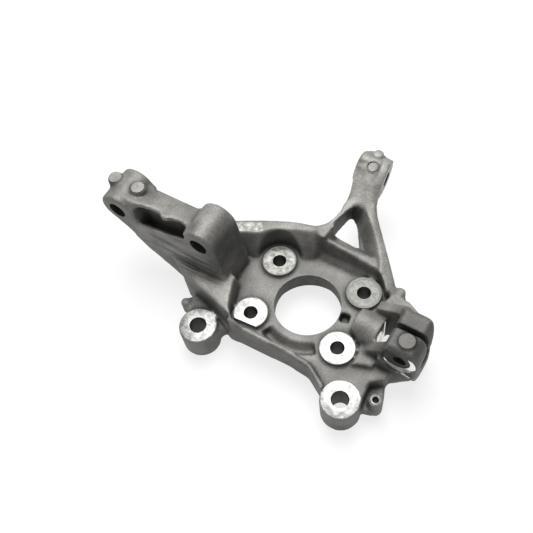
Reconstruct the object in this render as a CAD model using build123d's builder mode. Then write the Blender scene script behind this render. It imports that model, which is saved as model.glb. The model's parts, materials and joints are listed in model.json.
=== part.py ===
from build123d import *
import os

# Steering knuckle cast in one piece, in millimetres.
# The origin lies on the wheel axis, in the outboard face that the hub bearing bolts to.
# +Z points inboard along the wheel axis, +Y up towards the strut, +X towards the steering arm.

# Hub flange: throat, bearing pilot and the four bearing bolts
throat_diameter = 62
pilot_diameter = 74
pilot_depth = 14
plate_height = 30
underside_recess = 8
hub_bolt_span_x = 60
hub_bolt_span_y = 86
hub_bolt_turn = 4.5
hub_bolt_hole = 13
hub_boss_diameter = 32
hub_boss_rise = 4
hub_boss_relief = 44
hub_boss_clearance = 2.5
hub_boss_chord = 11
flange_margin = 16
gutter_radius = 45
gutter_width = 12
gutter_depth = 7
gutter_start = 152
gutter_arc = 66
sensor_slot_width = 9
sensor_slot_reach = 10
sensor_slot_depth = 9

# Caliper ears
ear_x = -66
ear_upper_y = 78
ear_lower_y = -69
ear_diameter = 36
ear_hole = 16

# Rear wall between the strut arm and the steering arm
rear_wall_top = 55

# Strut arm and its two bolt bosses, which are bored along X
strut_upper_y = 187
strut_upper_z = 85
strut_lower_y = 95
strut_lower_z = 89
strut_boss_diameter = 36
strut_hole = 17.5
strut_face_near = -22
strut_face_far = 16
strut_foot_near = -26
strut_web_near = -8
strut_waist_far = 11
strut_flange_near = -14
strut_flange_depth = 5
strut_crest = 101

# Raised web beside the strut arm, and the rail along the lower edge
side_web_top = 50
rail_width = 5
rail_top_start = 42
rail_top_end = 35

# Steering arm with its window and the tie rod eye, which is bored along Y
eye_x = 139
eye_z = 62
eye_near_y = -9.7
eye_turn = 6
eye_lean = 5
eye_length = 31
eye_diameter = 37
eye_collar = 8
eye_far_diameter = 24
eye_hole = 15
paddle_top = 79
arm_shoulder = 56
arm_floor = 38
arm_floor_thickness = 6
arm_foot_top = 42
arm_pocket_near = 49
cross_rib_x = 58
cross_rib_width = 5
cross_rib_top = 49
cross_rib_foot = 47

# Split clamp that holds the ball joint stud, bored along Y, with its pinch bolt along X
stud_x = 4
stud_z = 30
stud_bore = 22
clamp_diameter = 48
clamp_end_y = -116
clamp_start_y = -84
clamp_slit = 4
clamp_gap = 12
clamp_gap_near = -8
clamp_gap_far = 17
clamp_web_top = 46
pinch_y = -100
pinch_z = 52
pinch_hole = 12
pinch_boss_diameter = 28
pinch_face_near = -21
ledge_width = 3
ledge_top = 38
pinch_face_far = 25
pinch_spot_diameter = 21
clamp_far = 27
clamp_corner = 18
neck_diameter = 33

# Small lugs
bracket_lug_x = -51
bracket_lug_y = -95
bracket_lug_diameter = 13
bracket_lug_top = 28
bracket_hole = 6
stop_lug_x = 47
stop_lug_y = -70
stop_lug_diameter = 10
stop_lug_top = 40
bracket_web_top = 17

# Cast marks left proud by the ejector pins
pad_diameter = 15
pad_rise = 3

hub_plane = Plane.XY.rotated((0, 0, hub_bolt_turn))
eye_turned = Plane.XZ.rotated((eye_lean, 0, eye_turn))
eye_plane = Plane((eye_x, eye_near_y, eye_z), x_dir=eye_turned.x_dir, z_dir=eye_turned.z_dir)
gap_start_y = clamp_start_y + clamp_gap


def wall(points, bottom, top, corner=0.0):
    """Upright wall on an outline given in plan, with round corners."""
    with BuildPart() as prism:
        with BuildSketch(Plane.XY.offset(bottom)) as plan:
            with BuildLine():
                Polyline(*points, close=True)
            make_face()
            if corner:
                fillet(plan.vertices(), corner)
        extrude(amount=top - bottom)
    return prism.part


def slab(points, near, far, corner=0.0):
    """Upright slab on an outline given in Y and Z, between two values of X."""
    with BuildPart() as sheet:
        with BuildSketch(Plane.YZ.offset(near)) as side:
            with BuildLine():
                Polyline(*points, close=True)
            make_face()
            if corner:
                fillet(side.vertices(), corner)
        extrude(amount=far - near)
    return sheet.part


def boss(x, y, diameter, bottom, top, edge=0.0):
    """Upright round boss."""
    with BuildPart() as round_boss:
        with BuildSketch(Plane.XY.offset(bottom)):
            with Locations((x, y)):
                Circle(diameter / 2)
        extrude(amount=top - bottom)
        if edge:
            chamfer(round_boss.faces().sort_by(Axis.Z)[-1].edges(), edge)
    return round_boss.part


def tapered(low, bottom, high, top):
    """Body between two outlines in plan with the same number of points, at two heights."""
    with BuildPart() as body:
        for outline, height in ((low, bottom), (high, top)):
            with BuildSketch(Plane.XY.offset(height)):
                with BuildLine():
                    Polyline(*outline, close=True)
                make_face()
        loft(ruled=True)
    return body.part


def cross_boss(y, z, diameter, near, far):
    """Round boss that runs along X."""
    with BuildPart() as round_boss:
        with BuildSketch(Plane.YZ.offset(near)):
            with Locations((y, z)):
                Circle(diameter / 2)
        extrude(amount=far - near)
    return round_boss.part


def hub_plate():
    """Plate round the throat, with the machined bearing flange under it."""
    outline = [
        (-34, ear_upper_y + 38), (14, ear_upper_y + 34), (34, 100), (48, 75), (59, 51), (68, 22),
        (66, -40), (54, -60), (44, -82), (-30, -96), (-60, -60), (-54, -34), (-52, 15),
        (-57, 50), (-41, 86),
    ]
    with BuildPart() as plate:
        add(wall(outline, underside_recess, plate_height, 6))
        with BuildSketch(hub_plane):
            RectangleRounded(hub_bolt_span_x + 2 * flange_margin, hub_bolt_span_y + 2 * flange_margin,
                             flange_margin)
        extrude(amount=plate_height)
    return plate.part


def rear_wall():
    """Wall that ties the strut arm to the steering arm, its inner face leaning back from a wide foot."""
    rim = [(34, 101), (48, 75), (59, 51), (68, 23), (73, 19)]
    inner_rim = [(66, 11), (60, 22), (53, 41), (43, 62), (34, 70), (24, 92)]
    inner_foot = [(55, 10), (42, 19), (35, 33), (27, 52), (20, 66), (14, 86)]
    with BuildPart() as back:
        add(tapered(rim + inner_foot, plate_height - 2, rim + inner_rim, rear_wall_top))
        add(wall([(8, 110), (34, 101), (73, 19), (60, 22), (20, 90)], underside_recess,
                 plate_height + 10))
    return back.part


def strut_arm():
    """Arm up to the strut: a deep drafted beam, waisted between two cross bosses."""
    reach = strut_boss_diameter / 2
    heel = [(strut_upper_y + 16, strut_upper_z - 8), (strut_upper_y - 9, strut_upper_z - 26),
            (strut_upper_y - 26, 41), (ear_upper_y + 62, 28), (ear_upper_y + 38, underside_recess)]
    root = [(72, underside_recess), (72, 44), (strut_lower_y - reach, strut_lower_z)]
    crest = [(strut_lower_y, strut_crest + 2), (strut_upper_y + 2, strut_crest + 2),
             (strut_upper_y + 13, strut_crest - 6)]
    section = [(strut_foot_near, underside_recess), (strut_foot_near + 2, side_web_top),
               (strut_face_near, 72), (strut_face_near, strut_upper_z + 5),
               (strut_flange_near - 3, strut_crest + 2), (strut_waist_far, strut_crest - 7),
               (strut_face_far, strut_crest - 12),
               (strut_face_far, underside_recess)]
    pocket_low = [(strut_upper_y - 21, 78), (138, 83), (strut_lower_y + 17, 89)]
    shelf = strut_crest - strut_flange_depth
    mouth = pocket_low + [(strut_lower_y + 13, shelf), (strut_upper_y - 18, shelf)]
    deep = [(strut_upper_y - 25, 62), (138, 64), (strut_lower_y + 21, 70), (strut_lower_y + 19, shelf),
            (strut_upper_y - 22, shelf)]
    flange_edge = [(-60, strut_upper_y - 17), (strut_flange_near - 5, strut_upper_y - 17),
                   (strut_flange_near - 1, strut_upper_y - 26), (strut_flange_near + 1, 151),
                   (strut_flange_near + 1, 140), (strut_flange_near - 3, 136), (strut_flange_near - 3, 132),
                   (strut_flange_near + 1, 127), (strut_flange_near + 2, 118), (strut_flange_near, 110),
                   (strut_flange_near - 5, strut_lower_y + 12), (-60, strut_lower_y + 12)]
    with BuildPart() as arm:
        add(slab(heel + root + crest, -60, 60, 6))
        with BuildSketch(Plane.XZ.offset(-60)):
            with BuildLine():
                FilletPolyline(*section, radius=3, close=True)
            make_face()
        extrude(amount=-200, mode=Mode.INTERSECT)
        for y, z in ((strut_upper_y, strut_upper_z), (strut_lower_y, strut_lower_z)):
            add(cross_boss(y, z, strut_boss_diameter, strut_face_near, strut_face_far))
        # The flange along the crest stands back from the boss faces in a waved line
        above_pocket = pocket_low + [(strut_lower_y + 12, 120), (strut_upper_y - 17, 120)]
        add(wall(flange_edge, 60, 120) & slab(above_pocket, -60, 60), mode=Mode.SUBTRACT)
        # Hollow between the crest flange and the lower band
        for outline, x in ((mouth, strut_face_near), (deep, strut_web_near)):
            with BuildSketch(Plane.YZ.offset(x)):
                with BuildLine():
                    Polyline(*outline, close=True)
                make_face()
        loft(ruled=True, mode=Mode.SUBTRACT)
        # Waist on the far side, between the bosses
        add(slab([(strut_upper_y - 20, 20), (strut_upper_y - 20, 120), (strut_lower_y + 20, 120),
                  (strut_lower_y + 20, 60), (strut_lower_y + 30, 20)], strut_waist_far, 60),
            mode=Mode.SUBTRACT)
        for y in (strut_upper_y + 12, strut_upper_y - 14):
            add(boss(-1, y, pad_diameter, strut_upper_z, strut_crest + pad_rise, 0.8))
    return arm.part


def strut_root():
    """Thick foot under the lower strut boss, running into the rear wall."""
    foot = [(-20, 112), (-20, 73), (-6, 70), (16, 75), (26, 84), (34, 100), (14, 112)]
    head = [(-18, 112), (-18, 82), (-6, 82), (8, 84), (13, 89), (15, 100), (14, 112)]
    return tapered(foot, plate_height - 2, head, 84)


def side_web():
    """Raised flat web between the foot of the strut arm and the upper caliper ear."""
    head = [(-22, 136), (-14, 112), (-14, 66), (-20, 66), (-36, 60), (-50, 50), (-46.4, 63), (-40, 83.5),
            (-33.5, 105), (-28, 122)]
    foot = [(-22, 117), (-10, 112), (-10, 66), (-16, 62), (-32, 56), (-57, 46), (-51.5, 62), (-43, 85),
            (-39, 101), (-36, 112)]
    return tapered(foot, underside_recess, head, side_web_top)


def rail():
    """Upright lip along the lower edge, falling towards the lower ear."""
    outer = [(-56, 50), (-55, 18), (-54, -10), (-56, -32), (-68, -52)]
    inner = [(x + rail_width, y) for x, y in reversed(outer)]
    fall = [(50, underside_recess), (50, side_web_top), (36, rail_top_start), (0, rail_top_start - 3),
            (-30, rail_top_end + 1), (-54, rail_top_end), (-54, underside_recess)]
    return wall(outer + inner, underside_recess, side_web_top) & slab(fall, -90, -40)


def steering_arm():
    """Channel shaped arm with a window in its floor, leading to a flat paddle and the tie rod eye."""
    frame = [(66, 26), (73, 19), (82, 15.5), (92, 14.5), (106, 16), (113, 16), (114, -12), (102, -19),
             (84.6, -34), (68, -48.5), (55, -59.5), (44, -68), (36, -60), (50, -50), (56, -40), (56, 20)]
    tilt = [(30, underside_recess), (30, arm_shoulder), (-14, arm_shoulder),
            (-34, arm_shoulder - 6), (-62, arm_foot_top), (-80, arm_foot_top - 6), (-80, underside_recess)]
    belly = [(40, underside_recess), (60, 18), (80, arm_floor - arm_floor_thickness), (eye_x - 10, 42),
             (eye_x + 30, 42), (eye_x + 30, 120), (40, 120)]
    paddle = [(104, 15.8), (115, 17), (124, 17.6), (134, 19), (143, 20), (149, 20.4), (153, 17.5),
              (156, 15.6), (159, 13.5), (161, 9.5), (160, 5), (156.5, 0.5), (154, -2), (148, -3), (140, -4.5),
              (127, -7.5), (116, -11), (110, -13.5), (104, -14)]
    rise = [(97, 31), (eye_x - 9, 42), (eye_x + 5, 42), (eye_x + 14, 46), (eye_x + 20, 54), (eye_x + 21, 63),
            (eye_x + 18, paddle_top - 7), (eye_x + 11, paddle_top - 2), (eye_x + 1, paddle_top),
            (eye_x - 8, paddle_top - 3), (124, 70), (116, 62), (109, arm_shoulder), (97, arm_shoulder)]
    pocket_rim = [(arm_pocket_near, 13), (66, 12), (79, 9.5), (95, 7), (104, 5), (105, -3), (94, -14.5),
                  (76.5, -37), (66, -47), (arm_pocket_near, -52)]
    pocket_foot = [(arm_pocket_near, 13), (66, 12), (79, 9.5), (92, 7.5), (99.5, 6), (98.5, 1), (88, -7),
                   (68, -25), (57, -35), (arm_pocket_near, -42)]
    window = [(74, 13.5), (98, 7.5), (98, 4), (91, -3.5), (71, -16.5)]
    with BuildPart() as arm:
        with BuildSketch(Plane.XZ.offset(-60)):
            with BuildLine():
                Polyline(*rise, close=True)
            make_face()
        extrude(amount=120)
        add(wall(paddle, 0, 120, 1.5), mode=Mode.INTERSECT)
        add(wall(frame, underside_recess, 90, 3) & slab(tilt, 30, 120, 4))
        with BuildSketch(Plane.XZ.offset(-100)):
            with BuildLine():
                FilletPolyline(*belly, radius=8, close=True)
            make_face()
        extrude(amount=200, mode=Mode.INTERSECT)
        with BuildSketch(eye_plane):
            Circle(eye_diameter / 2)
        extrude(amount=-eye_collar)
        with BuildSketch(eye_plane):
            Circle(eye_far_diameter / 2)
        extrude(amount=-eye_length)
        add(tapered(pocket_foot, arm_floor, pocket_rim, arm_shoulder - 1), mode=Mode.SUBTRACT)
        add(wall(pocket_rim, arm_shoulder - 1, 90), mode=Mode.SUBTRACT)
        add(wall(window, 0, 60, 1.5), mode=Mode.SUBTRACT)
    return arm.part


def cross_rib():
    """Rib that closes the channel of the steering arm, its hub side falling away to the plate."""
    section = [(cross_rib_foot, underside_recess), (cross_rib_foot, plate_height),
               (cross_rib_x - 5, plate_height + 6), (cross_rib_x - 1, cross_rib_top),
               (cross_rib_x + 2, cross_rib_top + 2), (cross_rib_x + cross_rib_width, cross_rib_top - 3),
               (cross_rib_x + 11, arm_floor + 1), (cross_rib_x + 11, underside_recess)]
    fall = [(14, underside_recess), (14, cross_rib_top + 2), (-48, cross_rib_top - 5),
            (-48, underside_recess)]
    with BuildPart() as rib:
        with BuildSketch(Plane.XZ.offset(48)):
            with BuildLine():
                FilletPolyline(*section, radius=1, close=True)
            make_face()
        extrude(amount=-62)
    return rib.part & slab(fall, 40, 80)


def clamp():
    """Split clamp for the ball joint stud, with its pinch bolt ears."""
    ear_top = pinch_z + pinch_boss_diameter / 2
    shoulder = [(pinch_face_near, 0), (pinch_face_near, ear_top - 5), (pinch_face_near + 4, ear_top),
                (clamp_far - 7, ear_top), (clamp_far, ear_top - 9), (clamp_far, 0)]
    with BuildPart() as barrel:
        add(slab([(clamp_end_y, stud_z), (clamp_end_y, pinch_z), (clamp_end_y + 2, ear_top - 5),
                  (clamp_end_y + 7, ear_top), (clamp_start_y - 3, ear_top), (clamp_start_y, ear_top - 4),
                  (clamp_start_y, stud_z)], pinch_face_near, clamp_far))
        with BuildSketch(Plane.XZ.offset(-clamp_start_y)):
            with BuildLine():
                Polyline(*shoulder, close=True)
            make_face()
        extrude(amount=clamp_start_y - clamp_end_y, mode=Mode.INTERSECT)
        with BuildSketch(Plane.XZ.offset(-clamp_start_y)):
            with Locations((stud_x, stud_z)):
                Circle(clamp_diameter / 2)
        extrude(amount=clamp_start_y - clamp_end_y)
        # Round corner of the far ear
        with BuildSketch(Plane.XY):
            with Locations((clamp_far, clamp_end_y)):
                Rectangle(2 * clamp_corner, 2 * clamp_corner)
            with Locations((clamp_far - clamp_corner, clamp_end_y + clamp_corner)):
                Circle(clamp_corner, mode=Mode.SUBTRACT)
        extrude(amount=90, mode=Mode.SUBTRACT)
        with BuildSketch(Plane.XZ.offset(48)):
            with Locations((stud_x - 1, stud_z)):
                Circle(neck_diameter / 2)
        extrude(amount=-gap_start_y - 48)
        # Webs that carry the clamp, to each side of its gap
        add(wall([(clamp_gap_far - 2, -56), (44, -66), (41, -82), (34, -97), (27, -106),
                  (clamp_gap_far - 2, -106)], underside_recess, 40))
        add(slab([(-60, underside_recess), (-60, 48), (clamp_start_y - 4, ear_top - 4),
                  (clamp_start_y - 4, underside_recess)], clamp_gap_far, clamp_far))
        add(wall([(-34, -60), (-10, -60), (clamp_gap_near, -80), (-4, clamp_end_y + 4),
                  (-13, clamp_end_y + 4), (-23, -100), (-29, -90)], underside_recess, plate_height))
        add(slab([(-62, underside_recess), (-62, plate_height + 2), (-72, clamp_web_top - 4),
                  (clamp_start_y - 2, clamp_web_top + 10), (clamp_start_y - 2, underside_recess)],
                 pinch_face_near + 2, clamp_gap_near))
        # Ledge that the milled ear face stands on
        add(slab([(clamp_start_y + 3, underside_recess), (clamp_start_y + 3, ledge_top + 8),
                  (clamp_end_y + 3, ledge_top - 3), (clamp_end_y + 3, ledge_top - 8),
                  (clamp_end_y + 12, 17), (clamp_end_y + 20, underside_recess)],
                 pinch_face_near - ledge_width, pinch_face_near))
        add(boss(stud_x - 11, pinch_y, pad_diameter, pinch_z, ear_top + 1.5, 0.6))
    return barrel.part


def lugs():
    """Caliper ears with the webs that carry them, and the small lugs."""
    with BuildPart() as group:
        for y in (ear_upper_y, ear_lower_y):
            add(boss(ear_x, y, ear_diameter, 0, plate_height))
        add(boss(bracket_lug_x, bracket_lug_y, bracket_lug_diameter, 3, bracket_lug_top))
        add(boss(stop_lug_x, stop_lug_y, stop_lug_diameter, underside_recess, stop_lug_top, 1.5))
        add(wall([(-68, 62), (-50, 56), (-38, 100), (-48, 106), (-62, 92)], underside_recess, 25))
        add(boss(-50, 104, 9, underside_recess, 27))
        add(wall([(-82, -62), (-66, -50), (-40, -44), (-20, -60), (-20, -82), (-44, -84), (-60, -86),
                  (-74, -84)], underside_recess, plate_height))
        add(wall([(-20, -76), (-64, -80), (-60, -96), (-51, -101.5), (-42, -99), (-24, -92)],
                 underside_recess, bracket_web_top))
        add(wall([(-14.8, -61.3), (-31.5, -60.3), (-34, -63.6), (-30.7, -71.5), (-28.2, -79.8),
                  (-19.5, -78.3), (-16.5, -68.1)], underside_recess, plate_height + 4))
    return group.part


with BuildPart() as knuckle_casting:
    add(hub_plate())
    add(rear_wall())
    add(strut_arm())
    add(strut_root())
    add(side_web())
    add(rail())
    add(steering_arm())
    add(cross_rib())
    add(clamp())
    add(lugs())

    # Hub bolt bosses with room for the bolt heads
    with BuildSketch(hub_plane.offset(plate_height)):
        with GridLocations(hub_bolt_span_x, hub_bolt_span_y, 2, 2):
            Circle(hub_boss_diameter / 2 + hub_boss_clearance)
        with Locations((hub_bolt_span_x / 2, hub_bolt_span_y / 2)):
            Circle(hub_boss_relief / 2)
    extrude(amount=60, mode=Mode.SUBTRACT)
    with BuildSketch(hub_plane.offset(plate_height)):
        with GridLocations(hub_bolt_span_x, hub_bolt_span_y, 2, 2):
            Circle(hub_boss_diameter / 2)
        chord_x = -hub_bolt_span_x / 2 - hub_boss_chord
        with Locations((chord_x - hub_boss_diameter / 2, hub_bolt_span_y / 2)):
            Rectangle(hub_boss_diameter, 2 * hub_boss_diameter, mode=Mode.SUBTRACT)
    extrude(amount=hub_boss_rise)

    # Gutter between the throat's ring and the rail
    with BuildSketch(Plane.XZ.rotated((0, 0, gutter_start))):
        with BuildLine():
            Polyline((gutter_radius - gutter_width, plate_height + gutter_depth),
                     (gutter_radius - gutter_width / 5, plate_height - gutter_depth),
                     (gutter_radius + gutter_width / 5, plate_height - gutter_depth),
                     (gutter_radius + gutter_width * 0.7, plate_height + gutter_depth), close=True)
        make_face()
    revolve(axis=Axis.Z, revolution_arc=gutter_arc, mode=Mode.SUBTRACT)

    # Bores along the wheel axis
    with BuildSketch(Plane.XY):
        Circle(throat_diameter / 2)
        with Locations((ear_x, ear_upper_y), (ear_x, ear_lower_y)):
            Circle(ear_hole / 2)
        with Locations((bracket_lug_x, bracket_lug_y)):
            Circle(bracket_hole / 2)
    extrude(amount=plate_height + 40, mode=Mode.SUBTRACT)
    with BuildSketch(Plane.XY):
        Circle(pilot_diameter / 2)
    extrude(amount=pilot_depth, mode=Mode.SUBTRACT)
    with BuildSketch(hub_plane):
        with GridLocations(hub_bolt_span_x, hub_bolt_span_y, 2, 2):
            Circle(hub_bolt_hole / 2)
    extrude(amount=plate_height + 40, mode=Mode.SUBTRACT)

    # Slot in the edge of the throat for the wheel speed sensor
    with BuildSketch(Plane.XY.rotated((0, 0, -83)).offset(plate_height - sensor_slot_depth)):
        with Locations((throat_diameter / 2, 0)):
            Rectangle(2 * sensor_slot_reach, sensor_slot_width)
    extrude(amount=sensor_slot_depth, mode=Mode.SUBTRACT)

    # Bores along X: strut bolts and pinch bolt
    with BuildSketch(Plane.YZ.offset(strut_face_near)):
        with Locations((strut_upper_y, strut_upper_z), (strut_lower_y, strut_lower_z)):
            Circle(strut_hole / 2)
    extrude(amount=strut_face_far - strut_face_near, mode=Mode.SUBTRACT)
    with BuildSketch(Plane.YZ.offset(pinch_face_near)):
        with Locations((pinch_y, pinch_z)):
            Circle(pinch_hole / 2)
    extrude(amount=pinch_face_far - pinch_face_near, mode=Mode.SUBTRACT)
    with BuildSketch(Plane.YZ.offset(pinch_face_far)):
        with Locations((pinch_y, pinch_z)):
            Circle(pinch_spot_diameter / 2)
    extrude(amount=clamp_far - pinch_face_far, mode=Mode.SUBTRACT)

    # Bores of the tie rod eye and the ball joint stud
    with BuildSketch(eye_plane):
        Circle(eye_hole / 2)
    extrude(amount=-eye_length, mode=Mode.SUBTRACT)
    with BuildSketch(Plane.XZ.offset(-gap_start_y)):
        with Locations((stud_x, stud_z)):
            Circle(stud_bore / 2)
    extrude(amount=gap_start_y - clamp_end_y, mode=Mode.SUBTRACT)

    # Slit of the clamp, ending in an open gap
    with BuildSketch(Plane.YZ.offset(stud_x - clamp_slit / 2)):
        with BuildLine():
            Polyline((clamp_end_y, stud_z), (clamp_end_y, 90), (gap_start_y, 90), (gap_start_y, stud_z),
                     close=True)
        make_face()
    extrude(amount=clamp_slit, mode=Mode.SUBTRACT)
    with BuildSketch(Plane.XY) as gap:
        with BuildLine():
            Polyline((clamp_gap_near, gap_start_y), (clamp_gap_far, gap_start_y),
                     (clamp_gap_far, clamp_start_y), (clamp_gap_near, clamp_start_y), close=True)
        make_face()
        fillet(gap.vertices(), 4)
    extrude(amount=90, mode=Mode.SUBTRACT)

os.makedirs("parts", exist_ok=True)
knuckle_casting.part.label = "knuckle_casting"
export_step(knuckle_casting.part, "parts/knuckle_casting.step")
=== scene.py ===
"""Steering knuckle, cast in aluminium and milled where it bolts up.

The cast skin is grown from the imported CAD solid: its bores are plugged, its edges are rounded as a
mould rounds them, and then the milling and boring cuts are made, so that every machined face is crisp.
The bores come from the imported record. Lengths are millimetres, apart from the studio's, which are metres.
"""

import json
import logging
import math
from collections.abc import Sequence
from dataclasses import dataclass, field, replace
from enum import Enum

import bmesh
import bpy
import numpy as np
from mathutils import Matrix, Vector
from mathutils.kdtree import KDTree


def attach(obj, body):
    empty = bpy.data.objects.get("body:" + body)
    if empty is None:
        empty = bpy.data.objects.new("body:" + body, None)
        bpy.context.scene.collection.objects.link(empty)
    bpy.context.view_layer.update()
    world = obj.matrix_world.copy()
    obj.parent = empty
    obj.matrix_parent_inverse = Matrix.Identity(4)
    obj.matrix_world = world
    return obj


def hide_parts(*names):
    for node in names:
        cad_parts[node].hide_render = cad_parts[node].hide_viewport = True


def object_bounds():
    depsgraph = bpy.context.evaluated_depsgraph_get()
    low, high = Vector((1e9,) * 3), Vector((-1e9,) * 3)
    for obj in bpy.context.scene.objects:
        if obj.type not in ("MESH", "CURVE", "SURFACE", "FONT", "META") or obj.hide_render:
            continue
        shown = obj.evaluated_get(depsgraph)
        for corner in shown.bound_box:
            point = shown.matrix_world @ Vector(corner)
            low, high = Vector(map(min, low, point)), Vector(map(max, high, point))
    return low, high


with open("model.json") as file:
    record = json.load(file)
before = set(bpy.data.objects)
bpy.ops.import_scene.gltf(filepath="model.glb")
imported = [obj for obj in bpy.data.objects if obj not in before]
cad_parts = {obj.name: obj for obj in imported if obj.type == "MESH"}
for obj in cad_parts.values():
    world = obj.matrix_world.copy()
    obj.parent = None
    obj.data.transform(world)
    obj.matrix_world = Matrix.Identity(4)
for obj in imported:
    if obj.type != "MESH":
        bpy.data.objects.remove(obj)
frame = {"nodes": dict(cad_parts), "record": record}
CAD_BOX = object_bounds()

LOG = logging.getLogger("knuckle")
MM = 0.001
NODE = "knuckle_casting"
# Name of the mesh attribute that carries the painted light and shade
PAINTED_LIGHT_ATTRIBUTE = "tone"
DRAG = "drag"
# Keeps a length that is divided by from being nothing
TINY = 1e-9

MOUNTS = {mount["name"]: mount for mount in frame["record"]["mounts"]}

Pair = tuple[float, float]
Point = tuple[float, float, float]
Settings = dict[str | int, object]
Links = dict[str | int, bpy.types.NodeSocket]


def linear(code: str) -> tuple[float, float, float, float]:
    """Turns an sRGB hex colour to linear values.

    Args:
        code: The colour as "#rrggbb".

    Returns:
        Linear red, green and blue, and an alpha of 1.
    """
    values = [int(code[i:i + 2], 16) / 255 for i in (1, 3, 5)]
    r, g, b = (v / 12.92 if v <= 0.04045 else ((v + 0.055) / 1.055) ** 2.4 for v in values)
    return r, g, b, 1.0


def add_node(
    tree: bpy.types.NodeTree,
    kind: str,
    settings: Settings | None = None,
    links: Links | None = None,
) -> bpy.types.Node:
    """Adds one shader node.

    Args:
        tree: The node tree that gets the node.
        kind: Blender's name of the node type.
        settings: Attribute names, or input names or numbers, with their values.
        links: Input names or numbers, with the output sockets that feed them.

    Returns:
        The new node.
    """
    made = tree.nodes.new(kind)
    for name, value in (settings or {}).items():
        if isinstance(name, int) or name in made.inputs:
            made.inputs[name].default_value = value
        else:
            setattr(made, name, value)
    for name, source in (links or {}).items():
        tree.links.new(source, made.inputs[name])
    return made


def put(name: str, data: bpy.types.ID) -> bpy.types.Object:
    """Makes an object of its data and links it to the scene.

    Args:
        name: The object's name.
        data: Its mesh, lamp or camera.

    Returns:
        The new object.
    """
    made = bpy.data.objects.new(name, data)
    bpy.context.scene.collection.objects.link(made)
    return made


def read_rows(items: bpy.types.bpy_prop_collection, name: str) -> np.ndarray:
    """Reads one vector of each item in a collection.

    Args:
        items: The collection, such as a mesh's vertices.
        name: The vector's name.

    Returns:
        The vectors, one row each.
    """
    flat = np.empty(len(items) * 3, np.float32)
    items.foreach_get(name, flat)
    return flat.reshape(-1, 3).astype(float)


def along(spot: Point, way: Point, reach: float) -> Point:
    """Gives the point that lies this far from a spot, along a direction.

    Args:
        spot: Where to start.
        way: The direction, of length 1.
        reach: How far to go.

    Returns:
        The point.
    """
    x, y, z = (start + reach * step for start, step in zip(spot, way))
    return x, y, z


class Milling(Enum):
    """How a tool left a face; two of the finishes are darkened with painted shade."""

    BRIGHT = "face_milled_aluminium"
    DULL = "coarse_milled_aluminium"
    SHADED_MILL = "handled_milled_aluminium"
    SLOT = "fly_cut_aluminium"
    SHADED_BORE = "drilled_aluminium"


class Join(Enum):
    """How a form is joined to the casting, by Blender's name."""

    TAKE = "DIFFERENCE"
    ADD = "UNION"


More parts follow.
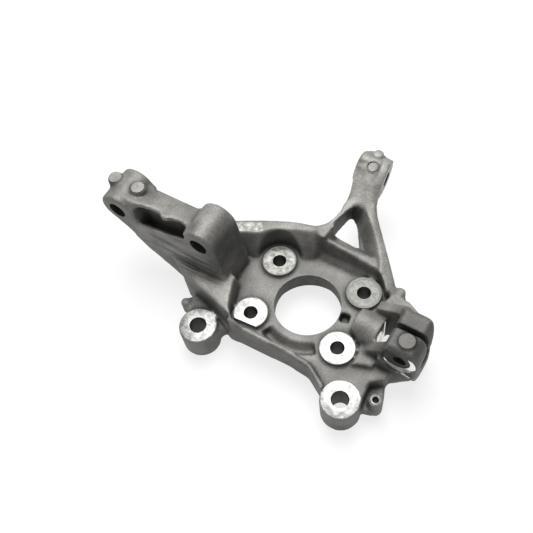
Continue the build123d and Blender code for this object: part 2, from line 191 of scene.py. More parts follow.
@dataclass(frozen=True)
class CastSkin:
    """Gravity-cast A356 aluminium, shot-blasted: matt, warm grey, finely pitted, with cloudy tone."""

    name: str = "shot_blasted_cast_aluminium"
    light: str = "#8c8b87"
    mid: str = "#7a7975"
    dark: str = "#656460"
    roughness: float = 0.56
    # How much glossier and duller than that the skin gets from cloud to cloud
    gloss_spread: Pair = (-0.08, 0.10)
    metallic: float = 0.3
    cloud_mm: float = 22.0
    # Where in the clouds the dark, the middle and the light grey lie
    cloud_bands: Point = (0.32, 0.5, 0.68)
    # Blasting grit leaves pits of about 0.4 mm; drawn at 1.3 mm so that they show in the render
    grit_mm: float = 1.3
    pit_depth_mm: float = 0.16
    pit_strength: float = 0.8
    # How dark a pit is drawn, how light the metal beside it, and where in the pattern these lie
    speck: Pair = (0.74, 1.22)
    speck_band: Pair = (0.35, 0.65)
    # Die drag lines on the strut arm's flank, 2.2 mm apart and some sixteen times as long
    drag_mm: float = 2.2
    drag_stretch: Point = (1.0, 0.06, 1.0)
    drag_turn: Point = (0.2, 0.0, 0.0)
    drag_tones: Pair = (0.25, 1.35)
    drag_band: Pair = (0.38, 0.62)
    # Broad swells that the worn die leaves
    wave_mm: float = 7.0
    wave_depth_mm: float = 0.48
    wave_strength: float = 0.5

    def material(self) -> bpy.types.Material:
        """Builds the material.

        Returns:
            The finished material.
        """
        made = bpy.data.materials.new(self.name)
        made.use_nodes = True
        tree = made.node_tree
        shader = tree.nodes["Principled BSDF"]
        shader.inputs["Metallic"].default_value = self.metallic
        place = add_node(tree, "ShaderNodeTexCoord").outputs["Object"]
        cloud = add_node(tree, "ShaderNodeTexNoise", {"Scale": 1 / (self.cloud_mm * MM), "Detail": 5.0,
                                                      "Roughness": 0.6}, {"Vector": place}).outputs["Fac"]
        grit = add_node(tree, "ShaderNodeTexNoise", {"Scale": 1 / (self.grit_mm * MM), "Detail": 3.0,
                                                     "Roughness": 0.65}, {"Vector": place}).outputs["Fac"]
        tree.links.new(self.colour(tree, place, cloud, grit), shader.inputs["Base Color"])
        smooth, dull = (self.roughness + spread for spread in self.gloss_spread)
        gloss = add_node(tree, "ShaderNodeMapRange", {"To Min": smooth, "To Max": dull}, {"Value": cloud})
        tree.links.new(gloss.outputs["Result"], shader.inputs["Roughness"])
        wave = add_node(tree, "ShaderNodeTexNoise", {"Scale": 1 / (self.wave_mm * MM), "Detail": 2.0},
                        {"Vector": place})
        swell = add_node(tree, "ShaderNodeBump", {"Strength": self.wave_strength,
                                                  "Distance": self.wave_depth_mm * MM},
                         {"Height": wave.outputs["Fac"]})
        pits = add_node(tree, "ShaderNodeBump", {"Strength": self.pit_strength,
                                                 "Distance": self.pit_depth_mm * MM},
                        {"Height": grit, "Normal": swell.outputs["Normal"]})
        tree.links.new(pits.outputs["Normal"], shader.inputs["Normal"])
        return made

    def colour(
        self,
        tree: bpy.types.NodeTree,
        place: bpy.types.NodeSocket,
        cloud: bpy.types.NodeSocket,
        grit: bpy.types.NodeSocket,
    ) -> bpy.types.NodeSocket:
        """Shades the cloudy grey by the painted light and shade stored on the mesh, by its drag lines and
        by the pits.

        Args:
            tree: The material's node tree.
            place: Place on the object.
            cloud: The broad pattern.
            grit: The fine pattern.

        Returns:
            The colour's socket.
        """
        tone = add_node(tree, "ShaderNodeValToRGB", {}, {"Fac": cloud})
        dark, light = tone.color_ramp.elements
        dark.position, dark.color = self.cloud_bands[0], linear(self.dark)
        light.position, light.color = self.cloud_bands[2], linear(self.light)
        tone.color_ramp.elements.new(self.cloud_bands[1]).color = linear(self.mid)
        speck = add_node(tree, "ShaderNodeMapRange", {"From Min": self.speck_band[0],
                                                      "From Max": self.speck_band[1],
                                                      "To Min": self.speck[0], "To Max": self.speck[1]},
                         {"Value": grit})
        stretch = add_node(tree, "ShaderNodeMapping", {"Scale": self.drag_stretch,
                                                       "Rotation": self.drag_turn}, {"Vector": place})
        lines = add_node(tree, "ShaderNodeTexNoise", {"Scale": 1 / (self.drag_mm * MM), "Detail": 2.0},
                         {"Vector": stretch.outputs["Vector"]})
        drag = add_node(tree, "ShaderNodeMapRange", {"From Min": self.drag_band[0],
                                                     "From Max": self.drag_band[1],
                                                     "To Min": self.drag_tones[0],
                                                     "To Max": self.drag_tones[1]},
                        {"Value": lines.outputs["Fac"]})
        where = add_node(tree, "ShaderNodeAttribute", {"attribute_name": DRAG})
        # The painted light and shade that the mesh carries
        depth = add_node(tree, "ShaderNodeAttribute", {"attribute_name": PAINTED_LIGHT_ATTRIBUTE})
        streak = add_node(tree, "ShaderNodeMix", {"data_type": "FLOAT", "A": 1.0},
                          {"Factor": where.outputs["Fac"], "B": drag.outputs["Result"]})
        shade = add_node(tree, "ShaderNodeMath", {"operation": "MULTIPLY"},
                         {0: depth.outputs["Fac"], 1: streak.outputs["Result"]})
        spread = add_node(tree, "ShaderNodeMath", {"operation": "MULTIPLY"},
                          {0: shade.outputs["Value"], 1: speck.outputs["Result"]})
        mixed = add_node(tree, "ShaderNodeMix", {"data_type": "RGBA", "blend_type": "MULTIPLY",
                                                 "Factor": 1.0},
                         {"A": tone.outputs["Color"], "B": spread.outputs["Value"]})
        return mixed.outputs["Result"]


@dataclass(frozen=True)
class MilledFace:
    """Bare aluminium where a tool has cut, with fine tool marks that break up its reflection."""

    milling: Milling
    light: str
    dark: str
    roughness: float
    # How much glossier and duller than that the face gets from mark to mark
    gloss_spread: Pair = (-0.06, 0.10)
    metallic: float = 0.9
    # Tool marks are about 0.15 mm apart; drawn at 0.7 mm so that they show in the render
    mark_mm: float = 0.7
    mark_depth_mm: float = 0.02
    mark_strength: float = 0.6
    mark_stretch: Point = (1.0, 0.15, 1.0)
    mark_turn: Point = (0.0, 0.0, 0.6)
    # Where in the marks the dark and the light colour lie
    mark_band: Pair = (0.35, 0.6)
    # Blotches where the cut has torn or smeared; the factor is how dark they go
    blotch_mm: float = 5.0
    blotch: float = 1.0
    blotch_band: Pair = (0.4, 0.6)

    def material(self) -> bpy.types.Material:
        """Builds the material.

        Returns:
            The finished material.
        """
        made = bpy.data.materials.new(self.milling.value)
        made.use_nodes = True
        tree = made.node_tree
        shader = tree.nodes["Principled BSDF"]
        shader.inputs["Metallic"].default_value = self.metallic
        place = add_node(tree, "ShaderNodeTexCoord").outputs["Object"]
        stretch = add_node(tree, "ShaderNodeMapping", {"Scale": self.mark_stretch,
                                                       "Rotation": self.mark_turn}, {"Vector": place})
        marks = add_node(tree, "ShaderNodeTexNoise", {"Scale": 1 / (self.mark_mm * MM), "Detail": 2.0},
                         {"Vector": stretch.outputs["Vector"]}).outputs["Fac"]
        tone = add_node(tree, "ShaderNodeValToRGB", {}, {"Fac": marks})
        dark, light = tone.color_ramp.elements
        dark.position, dark.color = self.mark_band[0], linear(self.dark)
        light.position, light.color = self.mark_band[1], linear(self.light)
        smear = add_node(tree, "ShaderNodeTexNoise", {"Scale": 1 / (self.blotch_mm * MM), "Detail": 3.0,
                                                      "Roughness": 0.6}, {"Vector": place})
        torn = add_node(tree, "ShaderNodeMapRange", {"From Min": self.blotch_band[0],
                                                     "From Max": self.blotch_band[1],
                                                     "To Min": self.blotch, "To Max": 1.0},
                        {"Value": smear.outputs["Fac"]})
        colour = add_node(tree, "ShaderNodeMix", {"data_type": "RGBA", "blend_type": "MULTIPLY",
                                                  "Factor": 1.0},
                          {"A": tone.outputs["Color"], "B": torn.outputs["Result"]})
        smooth, dull = (self.roughness + spread for spread in self.gloss_spread)
        gloss = add_node(tree, "ShaderNodeMapRange", {"To Min": smooth, "To Max": dull}, {"Value": marks})
        bump = add_node(tree, "ShaderNodeBump", {"Strength": self.mark_strength,
                                                 "Distance": self.mark_depth_mm * MM}, {"Height": marks})
        tree.links.new(colour.outputs["Result"], shader.inputs["Base Color"])
        tree.links.new(gloss.outputs["Result"], shader.inputs["Roughness"])
        tree.links.new(bump.outputs["Normal"], shader.inputs["Normal"])
        return made


FINISHES = (
    # Sharp face mill: nearly white, it mirrors the soft lamp
    MilledFace(Milling.BRIGHT, "#b0b0ae", "#8a8a88", 0.44, blotch=0.62),
    # Worn face mill: light grey and blotchy, as the cut has torn here and there
    MilledFace(Milling.DULL, "#92928e", "#666662", 0.42, metallic=0.7, blotch=0.45),
    # Face mill darkened with painted shade: evenly grey, with hardly any gloss
    MilledFace(Milling.SHADED_MILL, "#888884", "#6a6a66", 0.5, metallic=0.5, blotch=0.75),
    # Fly cutter: almost a mirror, so that the clamp's narrow slot shows the white floor
    MilledFace(Milling.SLOT, "#fbfbfa", "#ececea", 0.16, metallic=1.0),
    # Twist drill: grey, darkened with painted shade so that the bores read dark
    MilledFace(Milling.SHADED_BORE, "#5a5a55", "#3a3a36", 0.5, metallic=0.4, blotch=0.7),
)


@dataclass(frozen=True)
class Round:
    """A round tool or stud along a straight axis."""

    start: Point
    end: Point
    radius: float
    sides: int = 72
    milling: Milling = Milling.BRIGHT
    # How much wider it starts than it ends
    flare: float = 0.0

    def tool(self, work: bmesh.types.BMesh) -> None:
        """Adds the closed form to a mesh.

        Args:
            work: The mesh that gets the form.
        """
        foot, head = Vector(self.start) * MM, Vector(self.end) * MM
        axis = head - foot
        turn = axis.to_track_quat("Z", "Y").to_matrix().to_4x4()
        bmesh.ops.create_cone(
            work, cap_ends=True, segments=self.sides, radius1=(self.radius + self.flare) * MM,
            radius2=self.radius * MM, depth=axis.length,
            matrix=Matrix.Translation((foot + head) / 2) @ turn)

    def touches(self, centres: np.ndarray, slack: float = 0.03) -> np.ndarray:
        """Says which points lie on the tool's surface.

        Args:
            centres: Points in millimetres, one row each.
            slack: Distance that still counts, in millimetres.

        Returns:
            One truth value for each point.
        """
        foot, head = np.array(self.start), np.array(self.end)
        length = np.linalg.norm(head - foot)
        axis = (head - foot) / length
        height = (centres - foot) @ axis
        away = np.linalg.norm(centres - foot - height[:, None] * axis, axis=1)
        # The middle of each flat side lies this much inside the round
        flat = self.radius * (1 - math.cos(math.pi / self.sides))
        inside = (height > -slack) & (height < length + slack)
        on_floor = (np.abs(height) < slack) & (away < self.radius + slack)
        on_wall = inside & (away > self.radius - flat - slack) & (away < self.radius + slack)
        return on_floor | on_wall


@dataclass(frozen=True)
class Pad(Round):
    """A raised round pad, with painted light on its top and a painted shadow round its foot."""

    top_light: float = 1.1
    foot_shadow: float = 0.5
    # The painted shadow starts this far inside the pad's edge and spreads this far past it, down to this
    # depth
    foot_shadow_start: float = 0.3
    foot_shadow_width: float = 2.2
    foot_shadow_depth: float = 6.0
    # The painted light on the top reaches this far past the pad's edge, above its top and below it
    top_light_past: float = 0.1
    top_light_above: float = 1.5
    top_light_below: float = 0.2

    def halo(self, points: np.ndarray) -> np.ndarray:
        """Gives the pad's painted light and shadow.

        Args:
            points: Points in millimetres, one row each.

        Returns:
            One factor for each point.
        """
        foot, head = np.array(self.start), np.array(self.end)
        axis = (head - foot) / np.linalg.norm(head - foot)
        below = (head - points) @ axis
        away = np.linalg.norm(points - head + below[:, None] * axis, axis=1)
        near = (below > -self.top_light_above) & (below < self.foot_shadow_depth)
        top = near & (below < self.top_light_below) & (away < self.radius + self.top_light_past)
        ring = near & (away > self.radius - self.foot_shadow_start) & (away < self.radius + self.foot_shadow_width)
        return np.where(top, self.top_light, np.where(ring, self.foot_shadow, 1.0))


@dataclass(frozen=True)
class Prism:
    """A sweep of the mill, or a raised pad, over a convex outline counter-clockwise in plan."""

    outline: tuple[Pair, ...]
    low: float
    high: float
    milling: Milling = Milling.BRIGHT

    def tool(self, work: bmesh.types.BMesh) -> None:
        """Adds the swept prism to a mesh.

        Args:
            work: The mesh that gets the form.
        """
        rings = [[work.verts.new(Vector((x, y, z)) * MM) for x, y in self.outline]
                 for z in (self.low, self.high)]
        work.faces.new(list(reversed(rings[0])))
        work.faces.new(rings[1])
        count = len(self.outline)
        for i in range(count):
            j = (i + 1) % count
            work.faces.new((rings[0][i], rings[0][j], rings[1][j], rings[1][i]))

    def touches(self, centres: np.ndarray, slack: float = 0.03) -> np.ndarray:
        """Says which points lie on the prism's surface.

        Args:
            centres: Points in millimetres, one row each.
            slack: Distance that still counts, in millimetres.

        Returns:
            One truth value for each point.
        """
        height = centres[:, 2]
        depth = np.minimum(height - self.low, self.high - height)
        for (ax, ay), (bx, by) in zip(self.outline, self.outline[1:] + self.outline[:1]):
            across = (bx - ax) * (centres[:, 1] - ay) - (by - ay) * (centres[:, 0] - ax)
            depth = np.minimum(depth, across / math.hypot(bx - ax, by - ay))
        return np.abs(depth) < slack


@dataclass(frozen=True)
class Patch:
    """A soft-edged patch of the casting that is treated unlike the rest."""

    centre: Point
    reach: Point
    level: float

    def weight(self, points: np.ndarray) -> np.ndarray:
        """Says how strongly the patch covers each point.

        Args:
            points: Points in millimetres, one row each.

        Returns:
            One weight from 0 to 1 for each point.
        """
        # The fourth power keeps the patch's middle level and lets its edge fall off
        away = (points - np.array(self.centre)) / np.array(self.reach)
        return np.exp(-2.0 * (away ** 4).sum(1))


# Painted light and shade: a level under 1 paints shade on that part of the casting, a level over 1 paints
# light on it
PAINTED_LIGHT_PATCHES = (
    # The clamp, the strut arm's lower boss, the arm's window and channel
    Patch((0.0, -100.0, 58.0), (36.0, 24.0, 40.0), 0.42),
    Patch((-20.0, 78.0, 86.0), (44.0, 14.0, 27.0), 0.56),
    Patch((100.0, 3.0, 40.0), (12.0, 14.0, 14.0), 0.50),
    Patch((88.0, -16.0, 40.0), (24.0, 18.0, 13.0), 0.66),
    # The side between the caliper ears, and the plate, most of all by the lower ear and beside the throat
    Patch((-62.0, 0.0, 12.0), (13.0, 60.0, 26.0), 0.62),
    Patch((-48.0, -60.0, 32.0), (26.0, 30.0, 10.0), 0.86),
    Patch((-10.0, -15.0, 32.0), (70.0, 80.0, 9.0), 0.86),
    Patch((-15.0, -38.0, 30.0), (14.0, 8.0, 8.0), 0.85),
    # The steering arm's paddle, its root and the rims of its channel
    Patch((120.0, 6.0, 65.0), (12.0, 26.0, 11.0), 2.0),
    Patch((125.0, 6.0, 70.0), (30.0, 26.0, 20.0), 1.35),
    Patch((88.0, -5.0, 60.0), (26.0, 50.0, 6.0), 1.25),
    Patch((72.0, -42.0, 45.0), (10.0, 10.0, 10.0), 1.15),
    # The foot of the strut arm, its flank and the lip of its pocket
    Patch((-32.0, 80.0, 50.0), (14.0, 26.0, 8.0), 1.75),
    Patch((-20.0, 150.0, 62.0), (14.0, 26.0, 24.0), 1.40),
    Patch((-22.0, 118.0, 76.0), (6.0, 40.0, 5.0), 1.30),
    # The rear wall, the gutter, and the plate at the cross rib's foot
    Patch((60.0, 55.0, 45.0), (30.0, 34.0, 14.0), 1.40),
    Patch((-43.0, -20.0, 27.0), (14.0, 34.0, 7.0), 1.40),
    Patch((46.0, -8.0, 32.0), (10.0, 12.0, 6.0), 1.25),
)
# Where the die has worn and edges run out softly: the strut pocket's lower lip, the paddle's root and the
# pillar in the rear wall
SOFT = (
    Patch((-22.0, 140.0, 73.0), (9.0, 32.0, 8.0), 1.0),
    Patch((110.0, 8.0, 58.0), (9.0, 26.0, 9.0), 1.0),
    Patch((62.0, 24.0, 40.0), (14.0, 14.0, 18.0), 0.8),
)
# Where the die has left drag lines
FLANK = Patch((-25.0, 118.0, 58.0), (8.0, 50.0, 17.0), 1.0)


@dataclass(frozen=True)
class Bore:
    """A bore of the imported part, about its middle."""

    centre: Point
    axis: Point
    radius: float
    length: float

    @classmethod
    def of(cls, name: str) -> "Bore":
        """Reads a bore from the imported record.

        Args:
            name: The mount's name.

        Returns:
            The bore.
        """
        mount = MOUNTS[name]
        x, y, z = (value / MM for value in mount["pos_m"])
        return cls((x, y, z), tuple(mount["axis"]), mount["dims"]["r_mm"], mount["dims"]["length_mm"])

    def turned(self) -> "Bore":
        """Gives the same bore with its axis the other way.

        Returns:
            The turned bore.
        """
        x, y, z = self.axis
        return replace(self, axis=(-x, -y, -z))

    def cylinder(self, past: float = 0.0, wider: float = 0.0) -> Round:
        """Gives the cylinder that fills the bore.

        Args:
            past: How far it stands out at both ends.
            wider: How much larger its radius is.

        Returns:
            The cylinder.
        """
        half = self.length / 2 + past
        return Round(along(self.centre, self.axis, -half), along(self.centre, self.axis, half),
                     self.radius + wider)

    def facing(self, depth: float, past: float, radius: float, milling: Milling = Milling.BRIGHT) -> Round:
        """Gives the spot face at the end that the axis points to.

        Args:
            depth: How deep it cuts.
            past: How far the tool stands out.
            radius: The tool's radius.
            milling: The finish that it leaves.

        Returns:
            The cut.
        """
        floor = along(self.centre, self.axis, self.length / 2 - depth)
        return Round(floor, along(floor, self.axis, depth + past), radius, milling=milling)


@dataclass
class Machining:
    """Every milled face and every bore of the knuckle, with the pads and marks that stay crisp."""

    # Height of the hub plate, which the caliper ears share
    plate: float = 30.0
    throat: float = MOUNTS["throat"]["dims"]["r_mm"]
    pilot: float = MOUNTS["bearing_pilot"]["dims"]["r_mm"]
    pilot_depth: float = MOUNTS["bearing_pilot"]["dims"]["length_mm"]
    throat_sides: int = 120
    hub: tuple[Bore, ...] = tuple(Bore.of(f"hub_bolt_{number}") for number in (1, 2, 3, 4))
    # The bolts' rectangle is turned by this many degrees
    hub_turn: float = 4.5
    hub_discs: tuple[float, ...] = (14.8, 15.2, 15.4, 13.8)
    # The fourth disc's face is darkened with painted shade
    hub_mills: tuple[Milling, ...] = (Milling.DULL, Milling.BRIGHT, Milling.BRIGHT, Milling.SHADED_MILL)
    boss_radius: float = 16.0
    boss_height: float = 3.5
    boss_sides: int = 72
    # The second boss has a straight side, this far from its middle
    cut_boss: int = 1
    cut_boss_chord: float = 11.0
    ear_discs: Pair = (18.6, 17.3)
    strut: tuple[Bore, ...] = (Bore.of("strut_bolt_upper"), Bore.of("strut_bolt_lower"))
    eye: Bore = Bore.of("tie_rod_eye").turned()
    eye_disc: float = 18.0
    stud: Bore = Bore.of("ball_joint_clamp")
    pinch: Bore = Bore.of("pinch_bolt")
    # The clamp's slit ends the pinch bolt's near ear here
    slit: float = 0.0
    # The spot face is cut twice; the first cut's bright crescent stays beside the second one, which is
    # darkened with painted shade
    first_spot: float = 15.0
    first_depth: float = 0.9
    second_spot: float = 13.0
    second_depth: float = 1.3
    second_shift: Pair = (3.0, 1.5)
    # The cutter's edge has left two bright lines on the ledge under the spot face
    scratches: tuple[Round, ...] = (
        Round((-23.4, -103.0, 38.4), (-23.3, -112.0, 35.3), 0.9, 16, Milling.SLOT),
        Round((-21.3, -100.0, 39.7), (-21.3, -109.0, 36.6), 0.9, 16, Milling.SLOT),
    )
    bracket: Bore = Bore.of("bracket_hole")
    bracket_disc: float = 4.6
    # The slot in the clamp's gap: its side walls, its near end, and the gap's far wall
    slot_sides: Pair = (-4.0, 13.0)
    slot_end: float = -80.0
    gap_wall: float = -72.0
    # The pad on the rear wall's rim, counter-clockwise
    rim: float = 55.0
    rim_pad: tuple[Pair, ...] = ((45.3, 73.8), (33.9, 95.9), (25.2, 90.4), (36.1, 67.1))
    # Ejector pads on the strut arm's crest and on the clamp, with painted light on their tops and a painted
    # shadow round their feet
    pads: tuple[Pad, ...] = (
        Pad((-1.0, 173.0, 100.0), (-1.0, 173.0, 104.3), 6.0, flare=0.8),
        Pad((-1.0, 199.0, 100.0), (-1.0, 199.0, 104.3), 6.0, flare=0.8),
        Pad((-7.0, -100.0, 63.0), (-7.0, -100.0, 67.7), 6.8, flare=0.8, top_light=1.6),
    )
    # Soft lobes at the steering arm's tip, cast with the stock
    lobes: tuple[Round, ...] = (
        Round((149.5, 5.0, 62.0), (149.5, 5.0, 81.2), 5.2),
        Round((141.0, 15.0, 62.0), (141.0, 15.0, 80.0), 4.6),
    )
    # The ring sunk in the paddle, and the middle that stands in it
    ring: Point = (135.0, 3.5, 77.3)
    ring_lean: Point = (-0.32, 0.0, 0.95)
    ring_radius: float = 5.6
    ring_depth: float = 1.0
    island_radius: float = 4.3
    island_drop: float = 0.1
    # How deep a face is skimmed, how far a tool stands out, and how much wider a bore's filling is
    skim: float = 0.25
    over: float = 6.0
    wider: float = 1.0

    def ears(self) -> list[Bore]:
        """Gives the bolt bores of the upper and the lower caliper ear.

        Returns:
            The bores.
        """
        pattern = MOUNTS["caliper_ears"]
        x, y, _ = (value / MM for value in pattern["pos_m"])
        half = pattern["dims"]["spacing_y_mm"] / 2
        radius = pattern["dims"]["hole_r_mm"]
        return [Bore((x, middle, self.plate / 2), (0.0, 0.0, 1.0), radius, self.plate)
                for middle in (y + half, y - half)]

    def bosses(self) -> list[Prism]:
        """Gives the crisp tops of the hub bosses.

        Returns:
            The tops.
        """
        tops = []
        steps = self.boss_sides - 1
        for number, bolt in enumerate(self.hub):
            x, y, _ = bolt.centre
            widest = math.pi * steps / self.boss_sides
            if number == self.cut_boss:
                widest = math.acos(-self.cut_boss_chord / self.boss_radius)
            start = math.radians(self.hub_turn) - widest
            turns = [start + 2 * widest * step / steps for step in range(self.boss_sides)]
            outline = tuple((x + self.boss_radius * math.cos(turn), y + self.boss_radius * math.sin(turn))
                            for turn in turns)
            tops.append(Prism(outline, bolt.length - self.boss_height, bolt.length))
        return tops

    def marks(self) -> list[Round]:
        """Gives the sunk ring in the steering arm's paddle.

        Returns:
            The cut.
        """
        return [Round(along(self.ring, self.ring_lean, -self.ring_depth),
                      along(self.ring, self.ring_lean, 3 * self.ring_depth), self.ring_radius)]

    def islands(self) -> list[Pad]:
        """Gives the middle that stands in the sunk ring.

        Returns:
            The pad.
        """
        # The middle gets a painted shadow round its foot and a slightly darkened top
        return [Pad(along(self.ring, self.ring_lean, -2 * self.ring_depth),
                    along(self.ring, self.ring_lean, -self.island_drop), self.island_radius, top_light=0.95)]

    def bores(self) -> list[Round]:
        """Gives the bores, each a little longer than its wall at both ends.

        Returns:
            The cuts.
        """
        cuts = [bore.cylinder(self.over) for bore in (*self.hub, *self.ears(), *self.strut, self.eye,
                                                      self.pinch, self.bracket, self.stud)]
        for radius, top in ((self.throat, self.plate + self.over), (self.pilot, self.pilot_depth)):
            cuts.append(Round((0, 0, -self.over), (0, 0, top), radius, self.throat_sides))
        # The bores get the drilled finish, darkened with painted shade
        return [replace(cut, milling=Milling.SHADED_BORE) for cut in cuts]

    def plugs(self) -> list[Round]:
        """Gives the cast stock that fills each bore before it is cut.

        Returns:
            The fillings.
        """
        cuts = [bore.cylinder(wider=self.wider)
                for bore in (*self.hub, *self.ears(), *self.strut, self.eye, self.bracket)]
        near_ear = self.pinch.cylinder(wider=self.wider)
        cuts.append(replace(near_ear, start=(self.slit, *near_ear.start[1:])))
        for radius, top in ((self.throat, self.plate), (self.pilot, self.pilot_depth)):
            cuts.append(Round((0, 0, 0), (0, 0, top), radius + self.wider))
        return cuts

    def facings(self) -> list[Round]:
        """Gives the spot faces, each skimmed just under the cast stock.

        Returns:
            The cuts.
        """
        skim, over = self.skim, self.over
        cuts = [bolt.facing(skim, over, disc, milling)
                for bolt, disc, milling in zip(self.hub, self.hub_discs, self.hub_mills)]
        cuts += [ear.facing(skim, over, disc) for ear, disc in zip(self.ears(), self.ear_discs)]
        cuts.append(self.bracket.facing(skim, over, self.bracket_disc, Milling.DULL))
        cuts.append(self.pinch.facing(self.first_depth, over, self.first_spot, Milling.SLOT))
        x, y, z = self.pinch.centre
        shifted = replace(self.pinch, centre=(x, y + self.second_shift[0], z + self.second_shift[1]))
        cuts.append(shifted.facing(self.second_depth, over, self.second_spot, Milling.SHADED_BORE))
        cuts += self.scratches
        cuts.append(self.eye.facing(skim, over, self.eye_disc))
        return cuts

    def flats(self) -> list[Prism]:
        """Gives the sweeps that face the outboard side, the pad on the rear rim and the clamp's slot.

        Returns:
            The cuts.
        """
        (left, near), (right, far) = ([value / MM for value in corner[:2]] for corner in CAD_BOX)
        left, near, right, far = left - self.over, near - self.over, right + self.over, far + self.over
        table = ((left, near), (right, near), (right, far), (left, far))
        inner, outer = self.slot_sides
        wall = self.gap_wall + self.skim
        slot = ((inner, self.slot_end), (outer, self.slot_end), (outer, wall), (inner, wall))
        return [Prism(table, -self.over, self.skim / 2),
                Prism(self.rim_pad, self.rim - self.skim, self.rim + self.over, Milling.DULL),
                Prism(slot, self.skim, self.rim, Milling.SLOT)]


@dataclass(frozen=True)
class Web:
    """The edges of a mesh, for averaging over neighbours."""

    one: np.ndarray
    other: np.ndarray
    degree: np.ndarray

    @classmethod
    def of(cls, mesh: bpy.types.Mesh) -> "Web":
        """Reads a mesh's edges.

        Args:
            mesh: The mesh.

        Returns:
            Its web.
        """
        ends = np.empty(len(mesh.edges) * 2, np.int32)
        mesh.edges.foreach_get("vertices", ends)
        one, other = ends.reshape(-1, 2).T
        count = len(mesh.vertices)
        degree = np.bincount(one, minlength=count) + np.bincount(other, minlength=count)
        return cls(one.copy(), other.copy(), np.maximum(degree, 1)[:, None])

    def mean(self, place: np.ndarray) -> np.ndarray:
        """Gives the mean of each point's neighbours.

        Args:
            place: Points, one row each.

        Returns:
            The means, one row each.
        """
        count = len(place)
        return np.stack([np.bincount(self.one, place[self.other, i], count)
                         + np.bincount(self.other, place[self.one, i], count) for i in range(3)],
                        1) / self.degree


@dataclass(frozen=True)
class Breadth:
    """A breadth of hollows and edges, and how strongly painted shade darkens each hollow and a painted
    highlight lightens each edge.
    """

    # Rounds of smoothing that level forms of this breadth
    rounds: int
    hollow: float
    edge: float


BREADTHS = (Breadth(5, 1.1, 0.9), Breadth(30, 1.2, 0.0), Breadth(110, 0.9, 0.0))
# Painted shade on walls: the steeper a face, the darker it is painted, by up to this exponent
WALL_PAINTED_SHADE = 0.28
# Share of the way to its neighbours' mean that a point goes in one round of smoothing
SMOOTHING = 0.8


@dataclass(frozen=True)
class PaintedShading:
    """Painted light and shade of the cast skin at its points: painted shade in hollows and on walls,
    painted highlights on edges.
    """

    points: np.ndarray
    values: np.ndarray

    @classmethod
    def measure(cls, place: np.ndarray, normals: np.ndarray, web: Web, spacing: float) -> "PaintedShading":
        """Compares the skin with ever smoother copies of itself.

        Args:
            place: The skin's points, one row each.
            normals: Their normals, one row each.
            web: The skin's web.
            spacing: Usual distance of neighbours.

        Returns:
            The painted shading.
        """
        smooth = place.copy()
        exponent = -WALL_PAINTED_SHADE * (1 - np.abs(normals[:, 2]))
        done = 0
        for breadth in BREADTHS:
            for _ in range(breadth.rounds - done):
                smooth += SMOOTHING * (web.mean(smooth) - smooth)
            done = breadth.rounds
            # Smoothing spreads with the root of its rounds
            reach = spacing * math.sqrt(SMOOTHING / 2 * breadth.rounds)
            depth = ((smooth - place) * normals).sum(1) / reach
            # Painted shade darkens the hollows, and painted highlights lighten the edges
            exponent += -breadth.hollow * np.maximum(depth, 0) + breadth.edge * np.maximum(-depth, 0)
        return cls(place / MM, np.exp(exponent))

    def at(self, points: np.ndarray) -> np.ndarray:
        """Gives the painted shading at other points, from the nearest one of the skin.

        Args:
            points: Points in millimetres, one row each.

        Returns:
            One painted-shading factor for each point.
        """
        tree = KDTree(len(self.points))
        for number, point in enumerate(self.points):
            tree.insert(point, number)
        tree.balance()
        nearest = [tree.find(point)[1] for point in points]
        return self.values[nearest]


